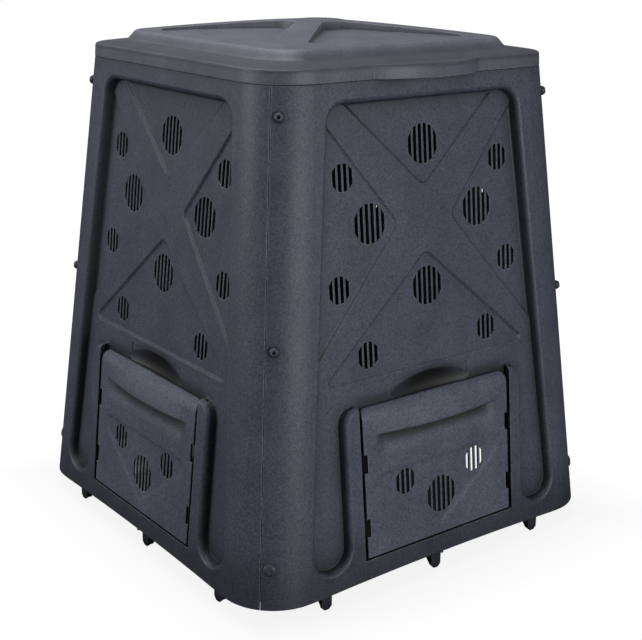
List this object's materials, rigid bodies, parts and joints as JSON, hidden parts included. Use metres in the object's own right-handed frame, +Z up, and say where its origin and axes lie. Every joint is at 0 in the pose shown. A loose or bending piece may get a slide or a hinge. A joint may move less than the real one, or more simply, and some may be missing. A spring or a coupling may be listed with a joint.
{
  "type": "compost bin",
  "caption": "Square tapered plastic compost bin: ribbed, vented snap-together walls with a lift-up hatch door at the foot of each, corner pins, ground stakes and a lift-off lid.",
  "frame": {"origin": "on the ground under the middle of the bin, at the tips of the ground stakes", "axes": "+Z up, -Y is the front wall, over which the lid has its finger lip, +X is the viewer's right"},
  "size_m": [0.681, 0.681, 0.8045],
  "materials": {
    "wall_plastic": "fine grained moulded plastic",
    "door_plastic": "fine grained moulded plastic",
    "pin_plastic": "smooth moulded plastic",
    "lid_plastic": "satin moulded plastic"
  },
  "bodies": {
    "walls": {"panel_front": "wall_plastic", "corner_pin_front_low": "pin_plastic", "corner_pin_front_middle": "pin_plastic", "corner_pin_front_top": "pin_plastic", "panel_right": "wall_plastic", "corner_pin_right_low": "pin_plastic", "corner_pin_right_middle": "pin_plastic", "corner_pin_right_top": "pin_plastic", "panel_back": "wall_plastic", "corner_pin_back_low": "pin_plastic", "corner_pin_back_middle": "pin_plastic", "corner_pin_back_top": "pin_plastic", "panel_left": "wall_plastic", "corner_pin_left_low": "pin_plastic", "corner_pin_left_middle": "pin_plastic", "corner_pin_left_top": "pin_plastic"},
    "lid": {"lid": "lid_plastic"},
    "door_front": {"door_front": "door_plastic"},
    "door_right": {"door_right": "door_plastic"},
    "door_back": {"door_back": "door_plastic"},
    "door_left": {"door_left": "door_plastic"}
  },
  "joints": [
    {"name": "lid_lift", "type": "slide", "parent": "walls", "child": "lid", "axis": [0, 0, 1], "range_m": [0, 0.3]},
    {"name": "door_front_lift", "type": "slide", "parent": "walls", "child": "door_front", "axis": [0, 0.1031, 0.9947], "range_m": [0, 0.236]},
    {"name": "door_right_lift", "type": "slide", "parent": "walls", "child": "door_right", "axis": [-0.1031, 0, 0.9947], "range_m": [0, 0.236]},
    {"name": "door_back_lift", "type": "slide", "parent": "walls", "child": "door_back", "axis": [0, -0.1031, 0.9947], "range_m": [0, 0.236]},
    {"name": "door_left_lift", "type": "slide", "parent": "walls", "child": "door_left", "axis": [0.1031, 0, 0.9947], "range_m": [0, 0.236]}
  ]
}
